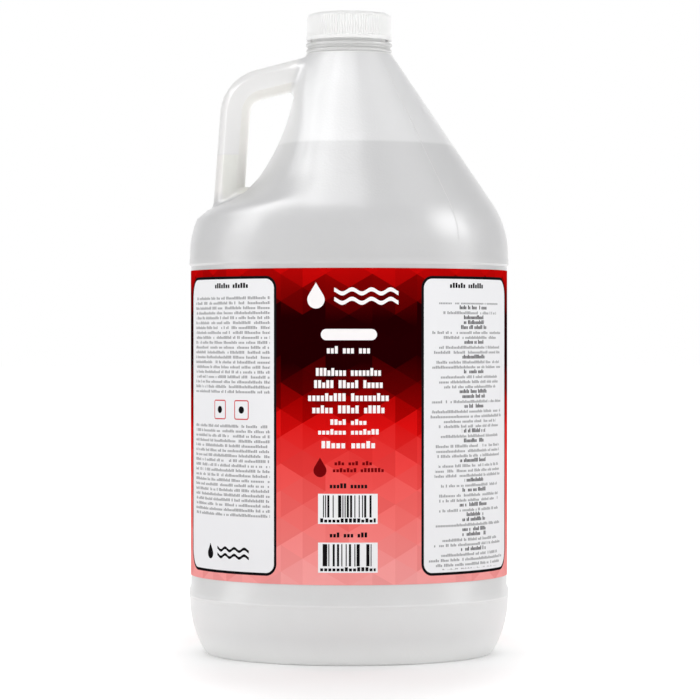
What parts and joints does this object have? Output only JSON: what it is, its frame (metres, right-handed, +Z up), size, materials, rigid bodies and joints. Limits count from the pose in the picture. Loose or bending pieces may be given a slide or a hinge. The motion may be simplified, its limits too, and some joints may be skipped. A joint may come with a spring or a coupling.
{
  "type": "bleach bottle",
  "caption": "Round blown plastic bottle with a hollow moulded handle, a finger scoop, a ribbed screw cap on a threaded neck, a wrap-around film label and liquid inside.",
  "frame": {"origin": "centre of the base on the bottle's axis, in the plane of the foot ring", "axes": "+Z up along the bottle's axis, -X towards the handle, -Y towards the front of the label"},
  "size_m": [0.154, 0.154, 0.3083],
  "materials": {
    "natural_polyethylene": "satin",
    "bleach": "gloss",
    "label_film": "gloss",
    "liner_foam": "matte",
    "cap_plastic": "satin"
  },
  "bodies": {
    "bottle": {"bottle": "natural_polyethylene", "liquid": "bleach", "label": "label_film"},
    "seal": {"cap_liner": "liner_foam"},
    "cap": {"screw_cap": "cap_plastic"}
  },
  "joints": [
    {"name": "cap_lift", "type": "slide", "parent": "bottle", "child": "seal", "axis": [0, 0, 1], "range_m": [0, 0.0053]},
    {"name": "cap_turn", "type": "hinge", "parent": "seal", "child": "cap", "pos_m": [0, 0, 0.295], "axis": [0, 0, 1], "range_deg": [0, 450]}
  ],
  "couplings": [
    {"joint": "cap_lift", "follows": "cap_turn", "m_per_rad": 0.0006737}
  ]
}
